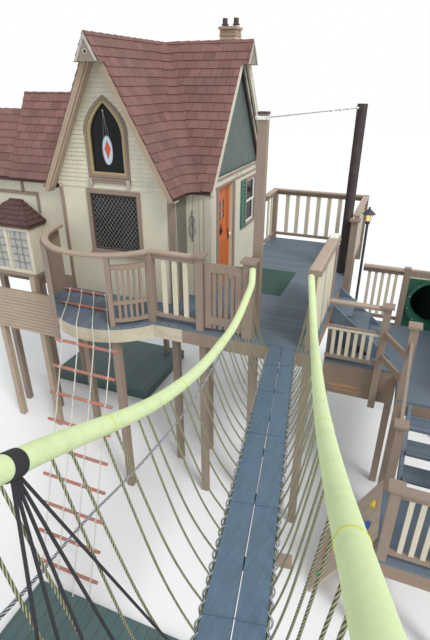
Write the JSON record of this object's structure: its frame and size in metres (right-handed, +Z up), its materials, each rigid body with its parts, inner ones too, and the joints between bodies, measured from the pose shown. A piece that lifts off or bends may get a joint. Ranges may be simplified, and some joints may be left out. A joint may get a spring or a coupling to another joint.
{
  "type": "tree house",
  "caption": "Timber tree house on posts with a steep cross-gabled cabin, round balcony, side deck, plank bridge with rope sides, rope ladder, landing, stairs, climbing ramp and tube slide",
  "frame": {"origin": "centre of the foot of the tall post, at ground level", "axes": "+Z up; +Y from the bridge toward the back of the deck; +X from the cabin toward the landing and slide"},
  "size_m": [8.04, 11.4462, 6.65],
  "materials": {
    "deck_blue": "painted, worn",
    "timber_tan": "solid stain",
    "wall_cream": "painted",
    "floor_wood": "painted",
    "gable_green": "glazed, green",
    "roof_shingle": "shingled",
    "prow_grey": "weathered paint",
    "chimney_tan": "painted courses",
    "window_white": "painted",
    "door_orange": "painted",
    "foam_lime": "foam sleeve",
    "rope_olive": "twisted rope",
    "pole_brown": "weathered",
    "metal_dark": "painted",
    "slide_green": "moulded"
  },
  "bodies": {
    "house": {"back_pole": "pole_brown", "balcony_boards": "timber_tan", "barge_east": "wall_cream", "barge_front": "timber_tan", "bay_box": "wall_cream", "bay_roof": "roof_shingle", "bridge_end": "timber_tan", "bridge_planks": "deck_blue", "cable_top": "metal_dark", "chimney": "chimney_tan", "climb_ramp": "timber_tan", "floor_cabin": "floor_wood", "floor_front": "deck_blue", "floor_side": "deck_blue", "frame_cabin": "timber_tan", "frame_front": "timber_tan", "frame_side": "timber_tan", "gable_east": "gable_green", "ground_decks": "deck_blue", "handrails": "foam_lime", "hinges": "metal_dark", "lamp_post": "metal_dark", "landing": "deck_blue", "low_platform": "deck_blue", "nets": "rope_olive", "newels": "timber_tan", "parapet": "wall_cream", "posts_cabin": "timber_tan", "posts_deck": "timber_tan", "prows": "prow_grey", "rail_balcony": "timber_tan", "rails_deck": "timber_tan", "rails_low": "timber_tan", "roof_back_east": "roof_shingle", "roof_east_back": "roof_shingle", "roof_east_front": "roof_shingle", "roof_front_east": "roof_shingle", "roof_west": "roof_shingle", "roof_wing": "roof_shingle", "rope_ladder": "rope_olive", "skirt_wing": "timber_tan", "slide_panel": "slide_green", "slide_tube": "slide_green", "stairs": "deck_blue", "tall_post": "timber_tan", "wall_back": "wall_cream", "wall_east_north": "wall_cream", "wall_east_south": "wall_cream", "wall_front": "wall_cream", "wall_return": "wall_cream", "wall_west": "wall_cream", "window_east": "window_white", "window_front": "timber_tan", "window_gothic": "timber_tan", "wing_back": "wall_cream", "wing_front": "wall_cream", "wing_gables": "wall_cream"},
    "door_leaf": {"door": "door_orange"},
    "gate_leaf": {"gate": "timber_tan"}
  },
  "joints": [
    {"name": "door_hinge", "type": "hinge", "parent": "house", "child": "door_leaf", "pos_m": [-1.032, 1.053, 3.7], "axis": [0, 0, 1], "range_deg": [0, 90]},
    {"name": "gate_hinge", "type": "hinge", "parent": "house", "child": "gate_leaf", "pos_m": [-0.613, -0.173, 3.44], "axis": [0, 0, 1], "range_deg": [0, 90]}
  ]
}
